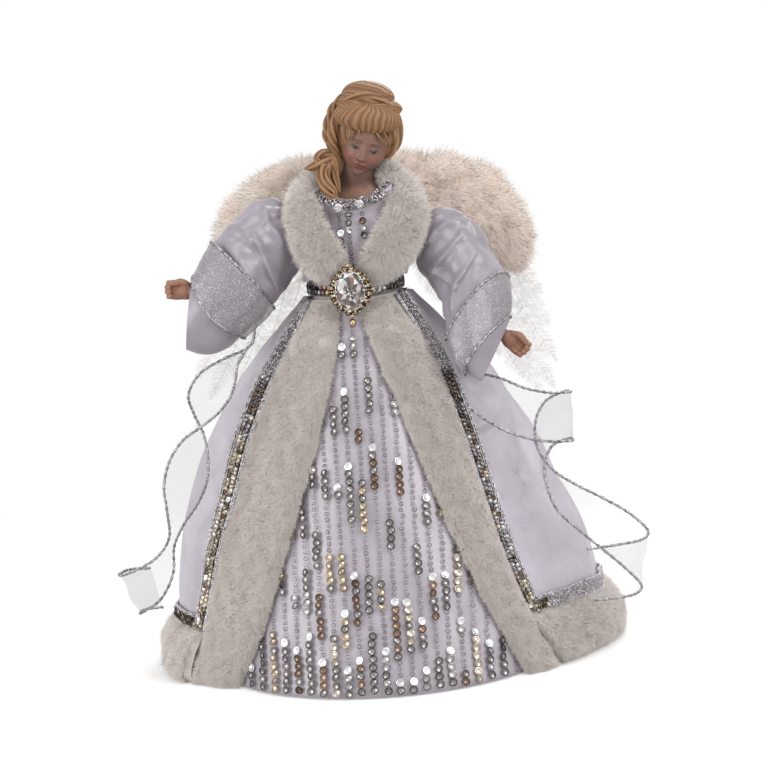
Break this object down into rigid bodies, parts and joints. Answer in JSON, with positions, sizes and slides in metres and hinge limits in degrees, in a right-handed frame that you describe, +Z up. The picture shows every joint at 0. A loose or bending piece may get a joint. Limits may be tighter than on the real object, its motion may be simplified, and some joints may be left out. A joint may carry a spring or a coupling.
{
  "type": "angel tree topper",
  "caption": "Angel tree topper: porcelain bust and hands on a hollow cone in a fur-edged satin coat, sequin skirt, belt brooch, sheer ribbon and feather wings.",
  "frame": {"origin": "on the floor at the middle of the cone's foot, which is the middle of the whole object's footprint", "axes": "+Z up along the cone, the front of the gown towards -Y, +X to the right as seen from the front"},
  "size_m": [0.3616, 0.2499, 0.4013],
  "materials": {
    "card": "matt pressed cardboard",
    "stuffing": "matt polyester wadding",
    "satin": "glossy white satin",
    "fur": "soft off-white fur pile",
    "porcelain_skin": "painted bisque porcelain",
    "sequin_braid": "silver and champagne sequins",
    "silver_trim": "silver beads and lurex",
    "antique_gold": "antique filigree",
    "crystal": "faceted acrylic crystal",
    "armature_wire": "bare wire",
    "organza": "sheer silver organza with wired metallic edges",
    "marabou": "cream down feathers",
    "goose_feather": "white feathers"
  },
  "bodies": {
    "gown": {"cone_core": "card", "wing_board": "card", "torso_form": "stuffing", "porcelain_bust": "porcelain_skin", "bodice_panel": "satin", "underskirt": "satin", "coat_yoke": "satin", "coat_left": "satin", "coat_right": "satin", "coat_back": "satin", "fur_front_left": "fur", "fur_front_right": "fur", "fur_hem_left": "fur", "fur_hem_right": "fur", "fur_collar_left": "fur", "fur_collar_right": "fur", "braid_front_left": "sequin_braid", "braid_front_right": "sequin_braid", "braid_hem_left": "sequin_braid", "braid_hem_right": "sequin_braid", "belt": "sequin_braid", "neckline_braid": "silver_trim", "neck_jewel_left": "crystal", "neck_jewel_right": "crystal", "brooch_stone": "crystal", "brooch_frame": "antique_gold", "brooch_drop": "antique_gold", "wing_left": "marabou", "wing_right": "marabou", "long_feathers_left": "goose_feather", "long_feathers_right": "goose_feather"},
    "left_arm": {"arm_wire_left": "armature_wire", "hand_left": "porcelain_skin", "sleeve_left": "satin", "ribbon_cuff_left": "organza"},
    "left_tail": {"ribbon_tail_left": "organza"},
    "right_arm": {"arm_wire_right": "armature_wire", "hand_right": "porcelain_skin", "sleeve_right": "satin", "ribbon_cuff_right": "organza"},
    "right_tail": {"ribbon_tail_right": "organza"}
  },
  "joints": [
    {"name": "left_arm_raise", "type": "hinge", "parent": "gown", "child": "left_arm", "pos_m": [-0.046, 0, 0.318], "axis": [0, 1, 0], "range_deg": [0, 20]},
    {"name": "left_tail_hang", "type": "hinge", "parent": "left_arm", "child": "left_tail", "pos_m": [-0.075, -0.0265, 0.2425], "axis": [0, 1, 0], "range_deg": [-20, 0]},
    {"name": "right_arm_raise", "type": "hinge", "parent": "gown", "child": "right_arm", "pos_m": [0.047, 0, 0.306], "axis": [0, -1, 0], "range_deg": [0, 20]},
    {"name": "right_tail_hang", "type": "hinge", "parent": "right_arm", "child": "right_tail", "pos_m": [0.06, -0.042, 0.2115], "axis": [0, -1, 0], "range_deg": [-20, 0]}
  ],
  "couplings": [
    {"joint": "left_tail_hang", "follows": "left_arm_raise", "ratio": -1},
    {"joint": "right_tail_hang", "follows": "right_arm_raise", "ratio": -1}
  ]
}
